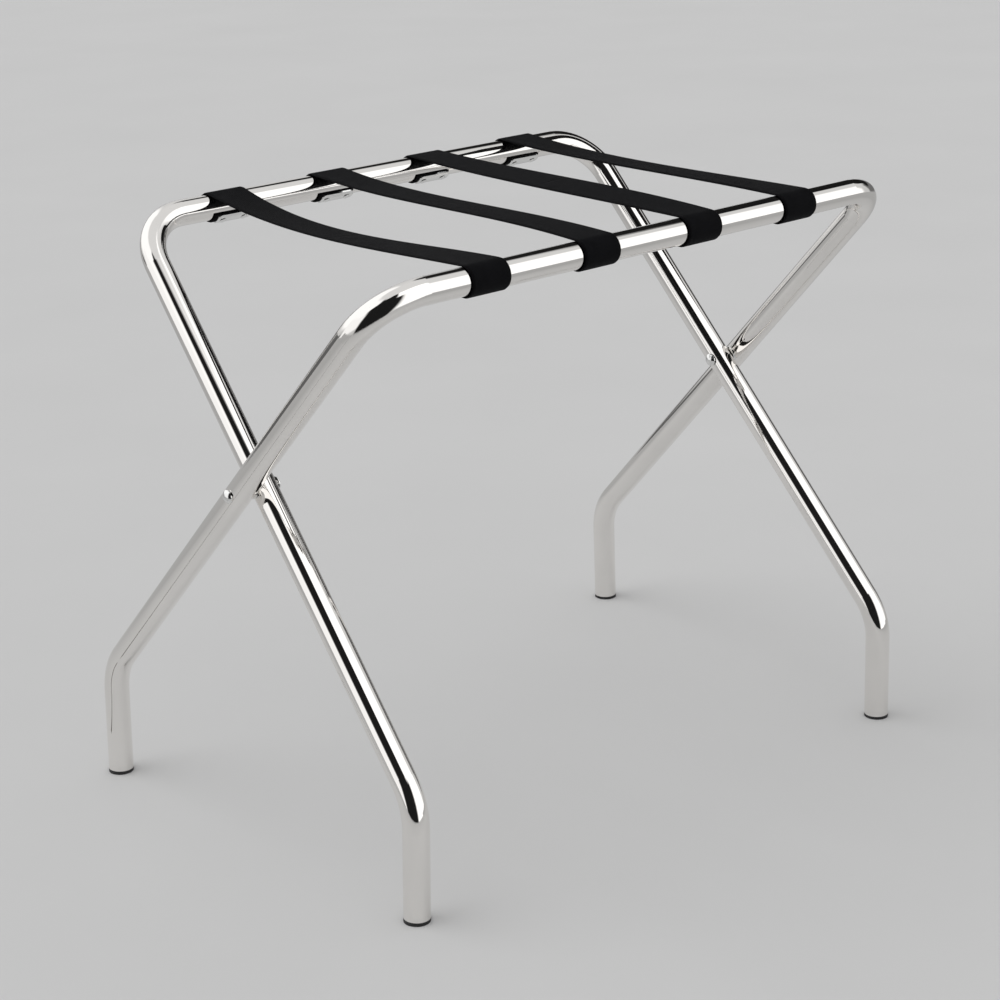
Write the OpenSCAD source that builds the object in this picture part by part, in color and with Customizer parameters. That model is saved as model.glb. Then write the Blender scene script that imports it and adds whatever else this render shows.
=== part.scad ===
// Folding luggage rack: two crossed U-shaped tube frames, pivoted on two rivets, with four
// webbing straps between the rails. Open, it stands on four plugged feet with the straps slack
// by their sag. The two frames fold together about the X axis through the rivets.
//
// Frame: X along the rails, Y from the front rail to the rear rail, Z up. The origin is on the
// floor, below the middle of the rack. The front rail belongs to the outer frame, whose feet
// stand at the rear; the rear rail belongs to the inner frame, whose feet stand in front.

/* [Overall] */
// Height of the rails' centre line above the floor
rail_height = 498; // [440:1:600]
// Distance between the centre lines of the two rails
rail_spacing = 351; // [290:1:420]
// Distance from front feet to rear feet
foot_spacing = 390; // [325:1:470]
// Distance between the outer frame's legs, at the pivots
outer_leg_spacing = 577; // [530:1:700]
// How far each leg leans outwards, in degrees
leg_splay = 2; // [0:0.1:4]

/* [Tube] */
// Outside diameter of the tube
tube_d = 22; // [18:0.5:28]
// Wall of the tube
tube_wall = 1.2; // [0.9:0.1:2]
// How far bending draws in the tube's outer and inner faces
bend_draw = 0.01; // [0.005:0.005:0.05]
// Centre-line radius of the bends between rail and legs
corner_radius = 45; // [38:1:60]
// Centre-line radius of the bends above the feet
foot_radius = 55; // [45:1:66]
// Height of the point where leg and foot lines meet
knee_height = 100; // [84:1:125]

/* [Feet] */
// Thickness of the plug's visible flange
plug_flange = 3; // [2:0.1:5]
// How deep the plug reaches into the tube
plug_depth = 16; // [12:0.5:24]
// Wall of the plug's hollow stem
plug_wall = 2; // [1.5:0.1:3]

/* [Pivots] */
// Diameter of the pivot rivet
pivot_d = 6; // [5:0.1:8]
// Radial clearance of the rivet in the inner frame's holes
pivot_clearance = 0.05; // [0.02:0.01:0.1]
// Diameter of the pivot rivet's heads
pivot_head_d = 11.5; // [9.5:0.1:14]
// Height of the pivot rivet's heads
pivot_head_h = 3.6; // [2.5:0.1:5]
// Space between the outer and the inner frame's legs
frame_gap = 2; // [1.6:0.1:4]
// Diameter of the spacer between the legs
spacer_d = 15; // [12:0.5:17]
// Play between turning faces at the pivots
side_play = 0.3; // [0.2:0.05:0.5]

/* [Straps] */
// Width of the webbing
strap_width = 38; // [32:0.5:45]
// Thickness of the webbing
strap_thickness = 1.8; // [1.4:0.1:2.4]
// Distance from strap to strap on the front rail
front_strap_pitch = 114; // [95:1:134]
// How far the straps are set off the middle of the front rail, towards +X
front_strap_offset = -8; // [-10:0.5:10]
// Distance from strap to strap on the rear rail
rear_strap_pitch = 111; // [93:1:126]
// How far the straps are set off the middle of the rear rail, towards +X
rear_strap_offset = 0.5; // [-3:0.5:3]
// Slope of the first strap, the slackest, where it leaves the rail, in degrees
slack_slope = 6.4; // [3:0.1:10]
// Slope of the other straps where they leave the rail, in degrees
strap_slope = 1.8; // [1:0.1:8]
// Length of strap past the rail that stays with the wrap
strap_lead = 4; // [3:0.5:8]
// Where the strap ends on the rail, below level on its inner side, in degrees
strap_end = 20; // [12:1:26]
// Gap between the pieces that a strap is made of
piece_gap = 0.2; // [0.2:0.05:0.5]

/* [Clamps] */
// Length of the clamp plate along the rail
clamp_length = 35; // [28:0.5:37]
// Width of the clamp plate round the rail
clamp_width = 13; // [11:0.5:15.5]
// Thickness of the clamp plate
clamp_thickness = 1.2; // [0.8:0.1:2]
// How far the clamps are set off the middle of their straps, towards +X
clamp_offset = 1.5; // [-1.5:0.5:1.5]
// Direction of the clamp plate's middle, below level, in degrees
clamp_angle = 52; // [48:1:62]
// Distance between a clamp's two rivets
clamp_rivet_pitch = 22; // [18:0.5:26]
// Diameter of the clamp rivets
clamp_rivet_d = 3.2; // [2.6:0.1:4]
// Diameter of the clamp rivets' heads
clamp_head_d = 6.2; // [5.2:0.1:7.5]
// Height of the clamp rivets' heads
clamp_head_h = 1.3; // [1:0.1:2]

/* [Hidden] */
$fn = 96;

chrome = "silver";
webbing = "#1c1c1f";
plastic = "#151515";

// Tube: outer radius, bore, and how far a straight runs into the bend beside it
tube_r = tube_d / 2;
bore_d = tube_d - 2 * tube_wall;
bend_lap = 0.2;

// Side view of a frame: the rail, the pivot and the knee lie on one line, which leans from the
// vertical by leg_lean
rail_y = rail_spacing / 2;
knee_y = foot_spacing / 2;
leg_lean = atan((rail_y + knee_y) / (rail_height - knee_height));
rail_to_pivot = rail_y / sin(leg_lean);
pivot_to_knee = knee_y / sin(leg_lean);
pivot_height = rail_height - rail_to_pivot * cos(leg_lean);

// The tube's two bends, and how far each reaches from the point where its straights would meet
corner_turn = 90 - leg_splay;
foot_turn = atan(cos(leg_splay) * tan(leg_lean));
corner_reach = corner_radius * tan(corner_turn / 2);
foot_reach = foot_radius * tan(foot_turn / 2);
foot_drop = cos(foot_turn) * cos(leg_splay) * cos(leg_lean) + sin(foot_turn) * sin(leg_lean);

// Straight runs of tube between the bends
leg_run = (rail_to_pivot + pivot_to_knee) / cos(leg_splay) - corner_reach - foot_reach;
foot_run = (knee_height - plug_flange) / foot_drop - foot_reach;
function rail_run(leg_x) = leg_x - rail_to_pivot * tan(leg_splay) - corner_reach;

outer_leg_x = outer_leg_spacing / 2;
inner_leg_x = outer_leg_x - tube_d - frame_gap;

// Straps: centre-line radius on the rail, how much thinner the lead is than the webbing on each
// face, and how many flats the hanging part has
strap_r = tube_r + strap_thickness / 2;
lead_draw = 0.05;
hang_steps = 16;

// Clamps: inner radius of the plate, its corners, the spare angle trimmed from its edges, what
// its rivets hold together outside the tube, and how far they reach into it
clamp_r = tube_r + strap_thickness;
clamp_corner_r = clamp_width / 3;
clamp_trim = 4;
clamp_grip = clamp_thickness + strap_thickness;
clamp_rivet_tail = 2;

front_x = [for (i = [1:4]) front_strap_offset + (i - 2.5) * front_strap_pitch];
rear_x = [for (i = [1:4]) rear_strap_offset + (i - 2.5) * rear_strap_pitch];

// A strap hangs in a parabola from where it leaves the rail, at hang_y from the middle
function slope(i) = i == 1 ? slack_slope : strap_slope;
function hang_y(i) = rail_y - strap_r * sin(slope(i));
function hang_z(i, y) = rail_height + strap_r * cos(slope(i))
    - (pow(hang_y(i), 2) - y * y) * tan(slope(i)) / (2 * hang_y(i));

// Frame of reference that follows the left half of the tube: its Z axis runs along the tube from
// the middle of the rail towards the foot, and each bend turns it towards its X axis
module at_rail_middle() {
    translate([0, -rail_y, rail_height]) rotate([180 + leg_lean, 0, 0]) rotate([0, -90, 0]) children();
}

module after_bend(turn, r) {
    translate([r, 0, 0]) rotate([0, turn, 0]) translate([-r, 0, 0]) children();
}

module at_leg_top(leg_x) {
    at_rail_middle() translate([0, 0, rail_run(leg_x)]) after_bend(corner_turn, corner_radius)
        rotate([0, 0, 90]) children();
}

module at_foot_top(leg_x) {
    at_leg_top(leg_x) translate([0, 0, leg_run]) after_bend(foot_turn, foot_radius) children();
}

module tube_section(draw) {
    difference() {
        circle(d = tube_d - 2 * draw);
        circle(d = bore_d + 2 * draw);
    }
}

module straight_tube(from, to) {
    translate([0, 0, from]) linear_extrude(to - from) tube_section(0);
}

module bent_tube(turn, r) {
    translate([r, 0, 0]) rotate([90, 0, 180]) rotate_extrude(angle = turn)
        translate([r, 0]) tube_section(bend_draw);
}

// The left half of a frame whose rail is in front, from the middle of the rail to the foot
module half_frame(leg_x) {
    at_rail_middle() {
        straight_tube(-bend_lap, rail_run(leg_x) + bend_lap);
        translate([0, 0, rail_run(leg_x)]) bent_tube(corner_turn, corner_radius);
    }
    at_leg_top(leg_x) {
        straight_tube(-bend_lap, leg_run + bend_lap);
        translate([0, 0, leg_run]) bent_tube(foot_turn, foot_radius);
    }
    at_foot_top(leg_x) straight_tube(-bend_lap, foot_run);
}

// A whole frame with its rail in front, drilled for the pivot rivets and the clamp rivets
module frame(leg_x, pivot_hole_d, strap_x) {
    difference() {
        union() {
            half_frame(leg_x);
            mirror([1, 0, 0]) half_frame(leg_x);
        }
        translate([0, 0, pivot_height]) rotate([0, 90, 0])
            cylinder(d = pivot_hole_d, h = 2 * (leg_x + tube_d), center = true);
        for (x = strap_x) at_clamp_rivets(x)
            cylinder(d = clamp_rivet_d, h = 4 * tube_wall, center = true);
    }
}

// The two rivets of the clamp of the strap at x on the front rail: Z points away from the rail,
// from the tube's surface
module at_clamp_rivets(x) {
    for (side = [-1, 1])
        translate([x + clamp_offset + side * clamp_rivet_pitch / 2, -rail_y, rail_height])
            rotate([-90 - clamp_angle, 0, 0]) translate([0, 0, tube_r]) children();
}

// A band of rectangular section round the X axis, between two angles that run from +Y to +Z
module band(r, thickness, width, from, to) {
    rotate([90, 0, 90]) rotate_extrude(angle = to - from, start = from)
        translate([r, -width / 2]) square([thickness, width]);
}

// Strap i where it goes round the front rail at x: from a short straight lead, over the top and
// the outside, to its end below
module strap_wrap(i, x) {
    color(webbing) difference() {
        translate([x, -rail_y, rail_height]) {
            band(tube_r, strap_thickness, strap_width, 90 - slope(i), 360 - strap_end);
            rotate([90, 0, 90]) rotate([0, 0, -slope(i)])
                translate([-bend_lap, tube_r + lead_draw, lead_draw - strap_width / 2])
                    cube([strap_lead + bend_lap, strap_thickness - 2 * lead_draw,
                        strap_width - 2 * lead_draw]);
        }
        at_clamp_rivets(x) cylinder(d = clamp_rivet_d, h = 4 * strap_thickness, center = true);
    }
}

// Strap i from its wrap at x on the front rail to mid-span, on the line to far_x on the rear rail
module strap_span(i, x, far_x) {
    y = [for (n = [0:hang_steps]) -hang_y(i) + n * (hang_y(i) + strap_width / 4) / hang_steps];
    top = [for (n = [0:hang_steps]) [y[n], hang_z(i, y[n]) + strap_thickness / 2]];
    bottom = [for (n = [hang_steps:-1:0]) [y[n], hang_z(i, y[n]) - strap_thickness / 2]];
    start = strap_lead + piece_gap - hang_y(i);
    color(webbing) intersection() {
        translate([x, -rail_y, 0]) rotate([0, 0, -atan((far_x - x) / rail_spacing)])
            translate([0, rail_y, 0]) rotate([90, 0, 90])
                linear_extrude(strap_width, center = true) polygon(concat(top, bottom));
        translate([-outer_leg_spacing, start, 0])
            cube([2 * outer_leg_spacing, -piece_gap / 2 - start, 2 * rail_height]);
    }
}

// Outline of a clamp plate laid flat: a rectangle with round corners
module clamp_outline() {
    r = clamp_corner_r;
    square([clamp_length - 2 * r, clamp_width], center = true);
    square([clamp_length, clamp_width - 2 * r], center = true);
    for (x = [-1, 1], y = [-1, 1])
        translate([x * (clamp_length / 2 - r), y * (clamp_width / 2 - r)]) circle(r);
}

// The plate that holds the end of the strap at x on the front rail
module clamp(x) {
    middle = 360 - clamp_angle;
    half_angle = asin(clamp_width / 2 / clamp_r) + clamp_trim;
    color(chrome) difference() {
        translate([x + clamp_offset, -rail_y, rail_height]) intersection() {
            band(clamp_r, clamp_thickness, clamp_length + 1, middle - half_angle, middle + half_angle);
            rotate([-90 - clamp_angle, 0, 0]) linear_extrude(tube_d) clamp_outline();
        }
        at_clamp_rivets(x) cylinder(d = clamp_rivet_d, h = 4 * clamp_grip, center = true);
    }
}

// Domed head that stands on Z = 0, with a short straight edge
module domed_head(d, h) {
    edge = h / 4;
    dome = h - edge;
    dome_r = (d * d / 4 + dome * dome) / (2 * dome);
    cylinder(d = d, h = edge);
    intersection() {
        translate([0, 0, h - dome_r]) sphere(dome_r);
        cylinder(d = d, h = h);
    }
}

// Rivets of the front rail's clamps, each from its head down through plate, strap and tube wall
module clamp_rivets(strap_x) {
    shank = clamp_grip + tube_wall + clamp_rivet_tail;
    color(chrome) for (x = strap_x) at_clamp_rivets(x) {
        translate([0, 0, clamp_grip - shank]) cylinder(d = clamp_rivet_d, h = shank);
        translate([0, 0, clamp_grip]) domed_head(clamp_head_d, clamp_head_h);
    }
}

// Plug in the end of the left foot of a frame whose rail is in front, level with the floor below
module foot_plug(leg_x) {
    color(plastic) intersection() {
        at_foot_top(leg_x) translate([0, 0, foot_run]) difference() {
            union() {
                translate([0, 0, -plug_depth]) cylinder(d = bore_d, h = plug_depth);
                cylinder(d = tube_d, h = 2 * plug_flange);
            }
            translate([0, 0, -plug_depth - plug_wall]) cylinder(d = bore_d - 2 * plug_wall, h = plug_depth);
        }
        translate([-outer_leg_spacing, -foot_spacing, 0])
            cube([2 * outer_leg_spacing, 2 * foot_spacing, knee_height]);
    }
}

// Rivet through both frames' left legs, headed on the outside and on the inside
module pivot_rivet() {
    outside = -(outer_leg_x + tube_r);
    inside = -(inner_leg_x - tube_r - side_play - pivot_head_d / 2 * tan(leg_splay));
    color(chrome) translate([0, 0, pivot_height]) {
        translate([outside, 0, 0]) rotate([0, 90, 0]) cylinder(d = pivot_d, h = inside - outside);
        translate([outside, 0, 0]) rotate([0, -90, 0]) domed_head(pivot_head_d, pivot_head_h);
        translate([inside, 0, 0]) rotate([0, 90, 0]) domed_head(pivot_head_d, pivot_head_h);
    }
}

// Spacer between the left legs: it sits on the outer leg's tube and stays just clear of the inner
module pivot_spacer() {
    inner_face = -(inner_leg_x + tube_r + side_play + spacer_d / 2 * tan(leg_splay));
    outer_axis = -outer_leg_x;
    color(chrome) difference() {
        translate([outer_axis, 0, pivot_height]) rotate([0, 90, 0])
            cylinder(d = spacer_d, h = inner_face - outer_axis);
        at_leg_top(outer_leg_x) cylinder(d = tube_d, h = leg_run);
        translate([outer_axis, 0, pivot_height]) rotate([0, 90, 0])
            cylinder(d = pivot_d, h = inner_face - outer_axis + 1);
    }
}

module outer_frame_tube() {
    color(chrome) frame(outer_leg_x, pivot_d, front_x);
}

module inner_frame_tube() {
    color(chrome) mirror([0, 1, 0]) frame(inner_leg_x, pivot_d + 2 * pivot_clearance, rear_x);
}

module left_to_right() {
    mirror([1, 0, 0]) children();
}

module front_to_rear() {
    mirror([0, 1, 0]) children();
}

outer_frame_tube();
inner_frame_tube();
foot_plug(outer_leg_x);  // foot_plug_rear_left
left_to_right() foot_plug(outer_leg_x);  // foot_plug_rear_right
front_to_rear() foot_plug(inner_leg_x);  // foot_plug_front_left
left_to_right() front_to_rear() foot_plug(inner_leg_x);  // foot_plug_front_right
pivot_rivet();  // pivot_rivet_left
left_to_right() pivot_rivet();  // pivot_rivet_right
pivot_spacer();  // pivot_spacer_left
left_to_right() pivot_spacer();  // pivot_spacer_right
for (i = [1:4]) {
    strap_wrap(i, front_x[i - 1]);
    strap_span(i, front_x[i - 1], rear_x[i - 1]);
    front_to_rear() strap_span(i, rear_x[i - 1], front_x[i - 1]);
    front_to_rear() strap_wrap(i, rear_x[i - 1]);
    clamp(front_x[i - 1]);
    front_to_rear() clamp(rear_x[i - 1]);
}
clamp_rivets(front_x);  // clamp_rivets_front
front_to_rear() clamp_rivets(rear_x);  // clamp_rivets_rear
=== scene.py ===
"""Looks of the folding luggage rack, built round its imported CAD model: chromed tube, riveted
plates, moulded foot plugs and woven straps that sag between the rails.

Lengths are in metres. -Y is the rack's front. Azimuths run from +Y towards +X, and they and
elevations are in degrees."""
import math

import bpy
from mathutils import Matrix, Vector

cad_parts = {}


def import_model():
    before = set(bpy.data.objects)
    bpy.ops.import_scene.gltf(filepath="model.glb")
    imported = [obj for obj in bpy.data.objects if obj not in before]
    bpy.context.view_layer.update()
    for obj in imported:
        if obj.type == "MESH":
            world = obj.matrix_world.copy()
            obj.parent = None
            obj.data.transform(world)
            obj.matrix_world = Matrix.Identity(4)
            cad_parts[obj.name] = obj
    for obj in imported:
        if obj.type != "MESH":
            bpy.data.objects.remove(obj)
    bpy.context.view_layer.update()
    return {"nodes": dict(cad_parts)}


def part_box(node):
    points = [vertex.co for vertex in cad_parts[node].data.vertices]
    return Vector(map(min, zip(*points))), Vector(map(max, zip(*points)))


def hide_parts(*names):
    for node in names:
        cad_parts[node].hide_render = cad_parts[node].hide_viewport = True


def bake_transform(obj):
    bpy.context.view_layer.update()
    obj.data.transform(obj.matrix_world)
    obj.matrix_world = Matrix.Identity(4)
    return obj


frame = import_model()

# Sizes of the CAD model
RAIL_Y = 0.1755                     # from the middle plane to each rail's middle line
RAIL_Z = 0.498                      # height of the rails' middle lines
TUBE_R = 0.011
STRAP_T = 0.0018
STRAP_W = 0.038
STRAP_END = math.radians(20)        # a strap's cut end is this far below its rail's middle, on the inside

# How steeply each strap's parabola leaves its rails
SLOPES = {1: math.radians(6.4), 2: math.radians(1.8), 3: math.radians(1.8), 4: math.radians(1.8)}

# Each strap's own hang: how far it lies above its parabola in the front and in the rear half, and
# how much higher its +X edge is than its -X edge there
HANG = {1: (0.0050, -0.0070, 0.0, -0.006), 2: (0.0060, -0.0045, -0.002, -0.002),
        3: (0.0045, 0.0, 0.004, 0.001), 4: (0.0025, -0.0030, -0.003, -0.003)}

# How a strap is meshed
WRAP_CLEARANCE = 0.00005            # between a wrap and the tube that it lies on
WRAP_STEPS, SPAN_STEPS = 90, 96     # along the wrap, and from the rail to mid-span
COLUMNS = 24                        # across the width
SELVEDGE_ROUND = 0.0012             # width of the rounding at each selvedge
SELVEDGE_THIN = 0.30                # share of the thickness that is left at the very edge
SELVEDGE_W = 0.0016                 # width of the selvedge in the weave
THREAD_ACROSS, THREAD_ALONG = 0.00125, 0.00105

# The camera
CAMERA_PLACE = (-1.2814, -1.4634, 0.9245)
CAMERA_AZIMUTH, CAMERA_ELEVATION, CAMERA_ROLL = 40.914, -19.587, -1.143
CAMERA_LENS, CAMERA_SENSOR = 83.84, 36.0

# The studio as reflections see it: walls that brighten from the horizon up to an elevation, and
# soft-edged panels on them, each one in front of those before it
WALL_LOW, WALL_HIGH, WALL_TOP = 0.60, 0.75, 60.0
PANELS = [
    # azimuths, elevations, width of the soft edge, value
    ((-94, 20), (6, 60), 10, 1.15),          # bright wall at the left and behind
    ((-95, -40), (-14, 22), 10, 1.05),       # bright low panel at the left
    ((-168, -96), (-90, 60), 8, 0.012),      # dark room in front, at the left
    ((122, 206), (44, 64), 8, 1.3),          # bright strip high up in front
    ((-36, 34), (-7, -1), 2, 0.12),          # dark line along the foot of the rear wall
    ((56, 98), (-8, 22), 8, 0.16),           # dim wall at the right
    ((40, 90), (10, 47), 6, 0.012),          # dark flag above it
    ((117, 188), (-24, 47), 10, 1.25),       # bright panel in front, at the right
]

# The floor as reflections see it: its paper fades out at a distance from the rack and in front of
# the rack, square to the view, and its colour is darkened away from the rack as painted shade
PAPER_EDGE = (3.6, 4.2)
PAPER_FRONT = (-1.00, -0.80)
PAPER_DIM, PAPER_DIM_FROM, PAPER_DIM_TO = 0.28, 0.45, 1.2
FLOOR_HALF = 30.0


# ---------------------------------------------------------------- helpers
class Nodes:
    """Adds and joins shader nodes of one tree."""

    def __init__(self, tree):
        self.tree = tree
        tree.nodes.clear()

    def add(self, kind, inputs=None, **settings):
        n = self.tree.nodes.new(kind)
        for key, value in settings.items():
            setattr(n, key, value)
        for key, value in (inputs or {}).items():
            self.set(n, key, value)
        return n

    def set(self, n, key, value):
        if isinstance(value, bpy.types.NodeSocket):
            self.tree.links.new(value, n.inputs[key])
        else:
            n.inputs[key].default_value = value

    def math(self, op, a, b=0.0, c=0.0):
        return self.add("ShaderNodeMath", {0: a, 1: b, 2: c}, operation=op).outputs[0]

    def scaled(self, vector, scale):
        return self.add("ShaderNodeVectorMath", {0: vector, 1: scale}, operation="MULTIPLY").outputs[0]

    def ramp(self, value, *stops):
        """Colours by value. A stop is its position and a colour or a grey."""
        n = self.add("ShaderNodeValToRGB", {"Fac": value})
        ramp = n.color_ramp
        while len(ramp.elements) < len(stops):
            ramp.elements.new(0.5)
        for e, (pos, colour) in zip(ramp.elements, stops):
            e.position = pos
            e.color = (*colour, 1) if isinstance(colour, tuple) else (colour, colour, colour, 1)
        return n.outputs["Color"]

    def noise(self, vector, scale, detail=3.0, rough=0.5):
        return self.add("ShaderNodeTexNoise", {"Vector": vector, "Scale": scale, "Detail": detail,
                                               "Roughness": rough}).outputs[0]

    def remap(self, value, low, high, from_low=0.0, from_high=1.0, **settings):
        return self.add("ShaderNodeMapRange", {"Value": value, "From Min": from_low, "From Max": from_high,
                                               "To Min": low, "To Max": high}, **settings).outputs[0]

    def bump(self, height, distance, strength, normal=None):
        n = self.add("ShaderNodeBump", {"Height": height, "Distance": distance, "Strength": strength})
        if normal is not None:
            self.set(n, "Normal", normal)
        return n.outputs[0]

    def mixed(self, factor, first, second):
        n = self.add("ShaderNodeMixShader", {0: factor})
        self.tree.links.new(first.outputs[0], n.inputs[1])
        self.tree.links.new(second.outputs[0], n.inputs[2])
        return n

    def output(self, shader, kind="ShaderNodeOutputMaterial"):
        self.tree.links.new(shader.outputs[0], self.add(kind).inputs["Surface"])

    def surface(self, inputs):
        self.output(self.add("ShaderNodeBsdfPrincipled", inputs))


def material(name):
    m = bpy.data.materials.new(name)
    m.use_nodes = True
    return m, Nodes(m.node_tree)


def place(k):
    """The object's own coordinates, in metres."""
    return k.add("ShaderNodeTexCoord").outputs["Object"]


def new_object(name, verts, faces):
    mesh = bpy.data.meshes.new(name)
    mesh.from_pydata(verts, [], faces)
    obj = bpy.data.objects.new(name, mesh)
    bpy.context.scene.collection.objects.link(obj)
    return obj


# ---------------------------------------------------------------- materials
def chrome(name, tint, rough):
    """Bright chrome plating on polished steel: faint clouding, wipe marks and a slightly uneven
    surface, so that reflections waver a little."""
    m, k = material(name)
    p = place(k)
    cloud = k.noise(p, scale=14.0, detail=3.0, rough=0.55)
    haze = k.noise(p, scale=160.0, detail=4.0, rough=0.6)
    wave = k.noise(p, scale=22.0, detail=1.0, rough=0.4)
    grain = k.noise(p, scale=900.0, detail=2.0, rough=0.5)
    colour = k.ramp(cloud, (0.3, tuple(c * 0.965 for c in tint)), (0.7, tint))
    clouded = k.remap(cloud, 0.0, rough * 0.5, from_low=0.35, from_high=0.75)
    blur = k.math("ADD", clouded, k.remap(haze, rough * 0.75, rough * 1.25))
    uneven = k.bump(wave, distance=0.0006, strength=0.12)
    normal = k.bump(grain, distance=0.00002, strength=0.25, normal=uneven)
    k.surface({"Base Color": colour, "Metallic": 1.0, "Roughness": blur, "Normal": normal})
    return m


def plastic(name):
    """Black moulded plastic with a fine spark-eroded grain."""
    m, k = material(name)
    p = place(k)
    grain = k.noise(p, scale=1400.0, detail=3.0, rough=0.6)
    mottle = k.noise(p, scale=90.0, detail=2.0, rough=0.5)
    colour = k.ramp(mottle, (0.3, (0.010, 0.010, 0.011)), (0.75, (0.024, 0.024, 0.025)))
    k.surface({"Base Color": colour, "Roughness": k.remap(grain, 0.42, 0.62), "Specular IOR Level": 0.4,
               "Normal": k.bump(grain, distance=0.00008, strength=0.5)})
    return m


def webbing(name):
    """Tightly woven black webbing. The attribute "weave" holds where a point lies on the flat
    strap: across it, along it, and 1 at the selvedges."""
    m, k = material(name)
    flat = k.add("ShaderNodeAttribute", attribute_name="weave").outputs["Vector"]
    across, along, edge = k.add("ShaderNodeSeparateXYZ", {0: flat}).outputs
    wave_across = k.math("SINE", k.math("MULTIPLY", across, math.pi / THREAD_ACROSS))
    wave_along = k.math("SINE", k.math("MULTIPLY", along, math.pi / THREAD_ALONG))

    # threads over and under each other, as a height
    check = k.remap(k.math("MULTIPLY", wave_across, wave_along), 0.0, 1.0, from_low=-0.25, from_high=0.25)
    warp = k.math("MULTIPLY", k.math("ABSOLUTE", wave_across), check)
    weft = k.math("MULTIPLY", k.math("ABSOLUTE", wave_along), k.math("SUBTRACT", 1.0, check))
    weave = k.math("MAXIMUM", warp, k.math("MULTIPLY", weft, 0.82))

    # fibres along the threads and larger worn areas
    fibre = k.noise(k.scaled(flat, (1400.0, 90.0, 0.0)), scale=1.0, detail=3.0, rough=0.65)
    worn = k.noise(k.scaled(flat, (1.0, 1.0, 0.0)), scale=70.0, detail=3.0, rough=0.6)
    tone = k.math("ADD", k.math("MULTIPLY", weave, 0.45), k.math("MULTIPLY", fibre, 0.35))
    tone = k.math("ADD", tone, k.math("MULTIPLY", worn, 0.30))
    tone = k.math("SUBTRACT", tone, k.math("MULTIPLY", edge, 0.12))
    colour = k.ramp(tone, (0.15, (0.0005, 0.0005, 0.0007)), (0.55, (0.0022, 0.0022, 0.0029)),
                    (0.95, (0.0110, 0.0110, 0.0135)))
    height = k.math("ADD", weave, k.math("MULTIPLY", fibre, 0.25))
    k.surface({"Base Color": colour, "Roughness": k.remap(weave, 0.85, 0.66), "Specular IOR Level": 0.07,
               "Normal": k.bump(height, distance=0.00022, strength=0.8)})
    return m


CHROME = chrome("chromed_tube", tint=(0.90, 0.88, 0.855), rough=0.03)
PLATED = chrome("plated_steel", tint=(0.84, 0.84, 0.83), rough=0.10)
PLASTIC = plastic("plug_plastic")
WEBBING = webbing("webbing")


def dress(obj, mat):
    obj.data.materials.clear()
    obj.data.materials.append(mat)
    for face in obj.data.polygons:
        face.material_index = 0


for name, node in frame["nodes"].items():
    if name.endswith("frame_tube"):
        dress(node, CHROME)
    elif name.startswith("foot_plug"):
        dress(node, PLASTIC)
    elif name.startswith(("pivot", "clamp")):
        dress(node, PLATED)
    else:
        dress(node, WEBBING)


# ---------------------------------------------------------------- straps
# A half strap is worked out as a front half, with y counted inwards from the front rail, and a rear
# half is that turned round.
WRAP_R = TUBE_R + STRAP_T / 2 + WRAP_CLEARANCE


def middle_x(node):
    low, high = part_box(node)
    return (low.x + high.x) / 2


def lift_off(strap, lift):
    """The angle at which a strap leaves its rail, and where: its y and z."""
    slope = math.atan(math.tan(SLOPES[strap]) - 2 * lift / RAIL_Y)
    return slope, -RAIL_Y + WRAP_R * math.sin(slope), RAIL_Z + WRAP_R * math.cos(slope)


def middle_line(strap, hang, x_rail, x_mid):
    """The middle line from the cut end round the rail to mid-span: x, y, z and the section's lean."""
    lift, far_lift, tilt, far_tilt = hang       # near the rail, and near the other rail
    depth = RAIL_Y * math.tan(SLOPES[strap]) / 2
    slope, off_y, off_z = lift_off(strap, lift)
    line = []
    start, top = 2 * math.pi - STRAP_END, math.pi / 2 - slope
    for n in range(WRAP_STEPS):
        t = start + (top - start) * n / WRAP_STEPS
        line.append((x_rail, -RAIL_Y + WRAP_R * math.cos(t), RAIL_Z + WRAP_R * math.sin(t), 0.0))
    for n in range(SPAN_STEPS + 1):
        y = off_y * (1 - n / SPAN_STEPS)
        u = y / off_y
        near, far = (1 - u * u) * (1 + u) / 2, (1 - u * u) * (1 - u) / 2
        level = RAIL_Z + WRAP_R - (RAIL_Z + WRAP_R - off_z) * u * u
        z = level - (1 - u * u) * depth + lift * near + far_lift * far
        line.append((x_mid + (x_rail - x_mid) * u, y, z, (tilt * near + far_tilt * far) / STRAP_W))
    return line


def half_thickness(x):
    """Of the section, at x from its middle: flat, and rounded at the selvedges."""
    inside = min(1.0, (STRAP_W / 2 - abs(x)) / SELVEDGE_ROUND)
    rounding = math.sqrt(max(0.0, 1 - (1 - inside) ** 2))
    return STRAP_T / 2 * (SELVEDGE_THIN + (1 - SELVEDGE_THIN) * rounding)


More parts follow.
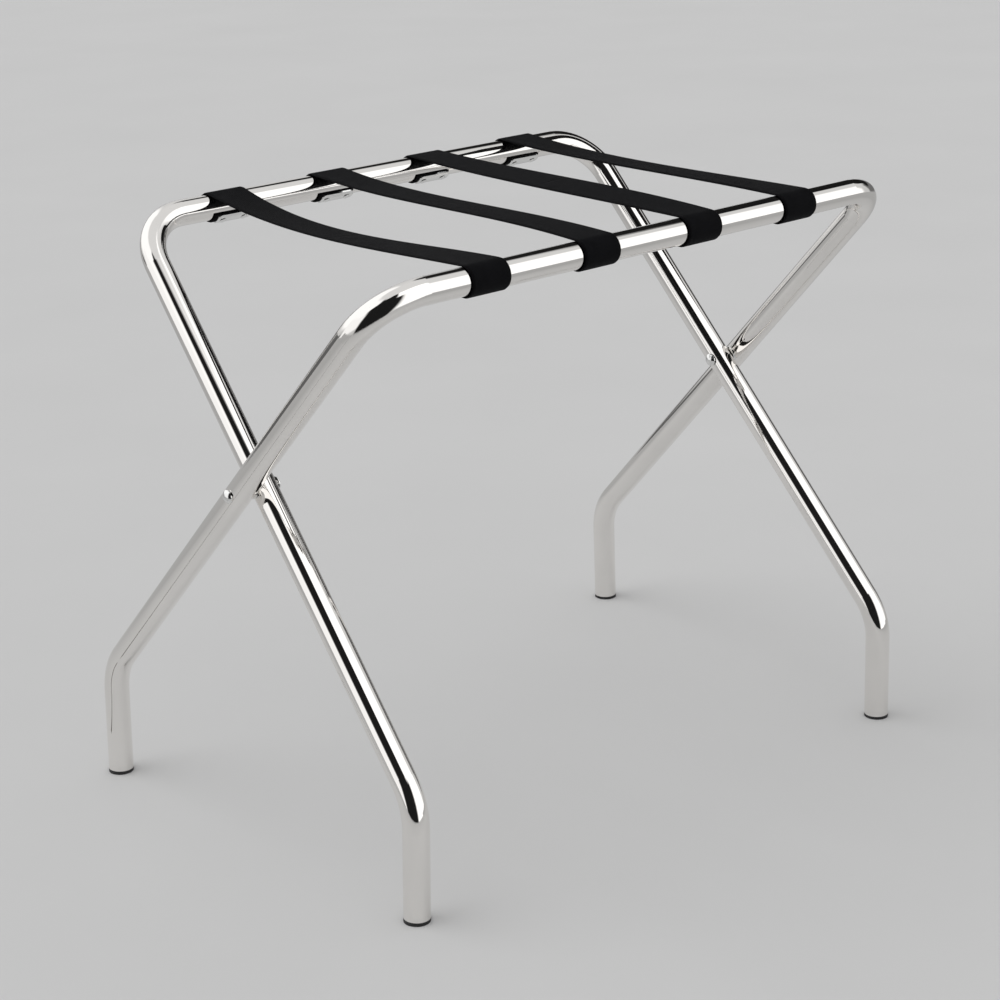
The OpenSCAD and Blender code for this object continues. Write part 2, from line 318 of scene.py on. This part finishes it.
def sweep(line):
    """Points, faces and weave coordinates of the strap's section drawn along its middle line, and
    the line's length."""
    half_w = STRAP_W / 2
    section = [(-half_w + STRAP_W * n / COLUMNS, 1) for n in range(COLUMNS + 1)]
    section += [(half_w - STRAP_W * n / COLUMNS, -1) for n in range(COLUMNS + 1)]
    verts, weave, along = [], [], 0.0
    for n, (x_line, y, z, lean) in enumerate(line):
        before, after = line[max(0, n - 1)], line[min(len(line) - 1, n + 1)]
        ty, tz = after[1] - before[1], after[2] - before[2]
        length = math.hypot(ty, tz)
        if n:
            along += math.hypot(y - line[n - 1][1], z - line[n - 1][2])
        for x, face in section:
            t = half_thickness(x) * face
            verts.append((x_line + x, y + tz / length * t, z - ty / length * t + lean * x))
            weave.append((x + half_w, along, 1.0 if half_w - abs(x) < SELVEDGE_W else 0.0))

    # round the strap from ring to ring of points, then across its two ends
    ring = len(section)
    faces = []
    for n in range(len(line) - 1):
        for j in range(ring):
            a, b = n * ring + j, n * ring + (j + 1) % ring
            faces.append((a, b, b + ring, a + ring))
    last = (len(line) - 1) * ring
    for j in range(COLUMNS):
        faces.append((j, ring - 1 - j, ring - 2 - j, j + 1))
        faces.append((last + j, last + j + 1, last + ring - 2 - j, last + ring - 1 - j))
    return verts, faces, weave, along


def strap_half(strap, side):
    """One half of a strap, from its cut end round a rail to mid-span. side is -1 for the front."""
    front_lift, rear_lift, front_tilt, rear_tilt = HANG[strap]
    if side < 0:
        end, body, span_body, tube = "front", "outer_frame", "front_spans", "outer_frame_tube"
        hang = front_lift, rear_lift, front_tilt, rear_tilt
    else:
        end, body, span_body, tube = "rear", "inner_frame", "rear_spans", "inner_frame_tube"
        hang = rear_lift, front_lift, rear_tilt, front_tilt
    x_front, x_rear = middle_x(f"strap_{strap}_front_wrap"), middle_x(f"strap_{strap}_rear_wrap")
    line = middle_line(strap, hang, x_front if side < 0 else x_rear, (x_front + x_rear) / 2)
    verts, faces, weave, along = sweep(line)
    if side > 0:
        verts = [(x, -y, z) for x, y, z in verts]
        faces = [tuple(reversed(f)) for f in faces]

    obj = new_object(f"strap_{strap}_{end}", verts, faces)
    flat_place = obj.data.attributes.new("weave", "FLOAT_VECTOR", "POINT")
    flat_place.data.foreach_set("vector", [c for v in weave for c in v])
    for face in obj.data.polygons:
        face.use_smooth = True
    obj.data.materials.append(WEBBING)
    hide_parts(f"strap_{strap}_{end}_wrap", f"strap_{strap}_{end}_span")
    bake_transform(obj)


for strap in (1, 2, 3, 4):
    for side in (-1, 1):
        strap_half(strap, side)


# ---------------------------------------------------------------- stage, light and camera
def direction(azimuth, elevation):
    a, e = math.radians(azimuth), math.radians(elevation)
    return Vector((math.sin(a) * math.cos(e), math.cos(a) * math.cos(e), math.sin(e)))


def floor():
    """A pale sweep. Reflections see it only as far as a studio's paper reaches, with its colour darkened
    away from the rack as painted shade; beyond that they see the studio."""
    s = FLOOR_HALF
    obj = new_object("floor", [(-s, -s, 0), (s, -s, 0), (s, s, 0), (-s, s, 0)], [(0, 1, 2, 3)])
    m, k = material("floor_paper")
    p = place(k)
    reflected = k.add("ShaderNodeLightPath").outputs["Is Glossy Ray"]
    radius = k.add("ShaderNodeVectorMath", {0: p}, operation="LENGTH").outputs["Value"]
    ahead = k.add("ShaderNodeVectorMath", {0: p, 1: direction(CAMERA_AZIMUTH, 0.0)},
                  operation="DOT_PRODUCT").outputs["Value"]
    past_edge = k.remap(radius, 0.0, 1.0, *PAPER_EDGE)
    past_front = k.remap(ahead, 1.0, 0.0, *PAPER_FRONT)
    beyond = k.math("MAXIMUM", past_edge, past_front)
    # painted shade: in reflections the paper's colour is darkened away from the rack
    dimming = k.remap(radius, 0.0, PAPER_DIM, PAPER_DIM_FROM, PAPER_DIM_TO)
    dimmer = k.math("SUBTRACT", 1.0, k.math("MULTIPLY", reflected, dimming))
    tone = k.ramp(k.noise(p, scale=3.0), (0.3, 0.612), (0.7, 0.628))
    colour = k.add("ShaderNodeVectorMath", {0: tone, "Scale": dimmer}, operation="SCALE").outputs["Vector"]
    paper = k.add("ShaderNodeBsdfPrincipled", {"Base Color": colour, "Roughness": 0.9,
                                               "Specular IOR Level": 0.1})
    clear = k.add("ShaderNodeBsdfTransparent")
    k.output(k.mixed(k.math("MULTIPLY", reflected, beyond), paper, clear))
    obj.data.materials.append(m)


def world():
    """The studio: even light for the floor, the straps and the plugs, and its walls and panels for
    reflections."""
    w = bpy.data.worlds.new("studio")
    bpy.context.scene.world = w
    w.use_nodes = True
    k = Nodes(w.node_tree)
    towards = k.add("ShaderNodeTexCoord").outputs["Generated"]
    x, y, z = k.add("ShaderNodeSeparateXYZ", {0: towards}).outputs
    elevation = k.math("MULTIPLY", k.math("ARCSINE", z), 180 / math.pi)
    azimuth = k.math("MULTIPLY", k.math("ARCTAN2", x, y), 180 / math.pi)

    def within(offset, low, high, soft):
        """1 where an angle is between low and high, given its offset from their middle."""
        half = (high - low) / 2
        return k.remap(k.math("ABSOLUTE", offset), 0.0, 1.0, from_low=half + soft / 2,
                       from_high=half - soft / 2, interpolation_type="SMOOTHSTEP")

    value = k.remap(elevation, WALL_LOW, WALL_HIGH, 0.0, WALL_TOP)
    for (a_low, a_high), (e_low, e_high), soft, panel_value in PANELS:
        turn = k.math("WRAP", k.math("SUBTRACT", azimuth, (a_low + a_high) / 2), 180.0, -180.0)
        rise = k.math("SUBTRACT", elevation, (e_low + e_high) / 2)
        cover = k.math("MULTIPLY", within(turn, a_low, a_high, soft), within(rise, e_low, e_high, soft))
        behind = k.math("MULTIPLY", value, k.math("SUBTRACT", 1.0, cover))
        value = k.math("ADD", behind, k.math("MULTIPLY", cover, panel_value))

    shown = k.add("ShaderNodeCombineColor", {0: value, 1: value, 2: value}).outputs[0]
    reflected = k.add("ShaderNodeLightPath").outputs["Is Glossy Ray"]
    plain = k.add("ShaderNodeBackground", {"Color": (0.9, 0.9, 0.9, 1), "Strength": 0.80})
    seen = k.add("ShaderNodeBackground", {"Color": shown, "Strength": 1.0})
    k.output(k.mixed(reflected, plain, seen), "ShaderNodeOutputWorld")


def sun(towards, strength, spread):
    data = bpy.data.lights.new("sun", "SUN")
    data.energy = strength
    data.angle = math.radians(spread)
    obj = bpy.data.objects.new("sun", data)
    bpy.context.scene.collection.objects.link(obj)
    obj.rotation_euler = Vector(towards).to_track_quat("-Z", "Y").to_euler()
    obj.visible_glossy = False


def only_reflected(obj, colour):
    """Makes a stage object glow in a colour that only reflections show."""
    m, k = material(obj.name)
    mottle = k.noise(place(k), scale=6.0, detail=2.0)
    shown = k.ramp(mottle, (0.3, tuple(c * 0.95 for c in colour)), (0.7, colour))
    k.output(k.add("ShaderNodeEmission", {"Color": shown, "Strength": 1.0}))
    obj.data.materials.append(m)
    obj.visible_camera = obj.visible_diffuse = obj.visible_shadow = False


def painted_reflection_line(name, start, end, width, value, height=0.0005):
    """A thin dark line, warm in tone, just above the floor, that only reflections show: a painted
    reflection.
    """
    a, b = Vector((*start, height)), Vector((*end, height))
    side = (b - a).cross(Vector((0, 0, 1))).normalized() * width / 2
    obj = new_object(name, [a - side, a + side, b + side, b - side], [(0, 1, 2, 3)])
    only_reflected(obj, (value, value * 0.92, value * 0.80))


def card(name, middle, facing, size, value):
    """A card beside the rack, turned to face a point."""
    w, h = size[0] / 2, size[1] / 2
    obj = new_object(name, [(-w, -h, 0), (w, -h, 0), (w, h, 0), (-w, h, 0)], [(0, 1, 2, 3)])
    only_reflected(obj, (value, value, value))
    obj.location = middle
    obj.rotation_euler = (Vector(facing) - Vector(middle)).to_track_quat("Z", "Y").to_euler()


def camera():
    data = bpy.data.cameras.new("camera")
    obj = bpy.data.objects.new("camera", data)
    bpy.context.scene.collection.objects.link(obj)
    data.sensor_width = CAMERA_SENSOR
    data.lens = CAMERA_LENS
    data.clip_end = 100.0
    forward = direction(CAMERA_AZIMUTH, CAMERA_ELEVATION)
    right = Vector((forward.y, -forward.x, 0)).normalized()
    up = right.cross(forward)
    roll = math.radians(CAMERA_ROLL)
    x = right * math.cos(roll) + up * math.sin(roll)
    y = up * math.cos(roll) - right * math.sin(roll)
    basis = Matrix((x, y, -forward)).transposed().to_4x4()
    obj.matrix_world = Matrix.Translation(CAMERA_PLACE) @ basis
    bpy.context.scene.camera = obj


floor()
world()
sun(towards=(0.45, -0.40, -0.80), strength=0.75, spread=50)
# painted reflection: a thin dark line on the floor that only reflections show
painted_reflection_line("painted_reflection_line_left", start=(-1.10, -0.18), end=(-0.40, 0.23), width=0.011, value=0.10)
card("flag_right", middle=(0.56, -0.04, 0.82), facing=(0.15, 0.0, 0.5), size=(0.26, 0.30), value=0.01)
camera()
bpy.context.scene.view_settings.view_transform = "Standard"
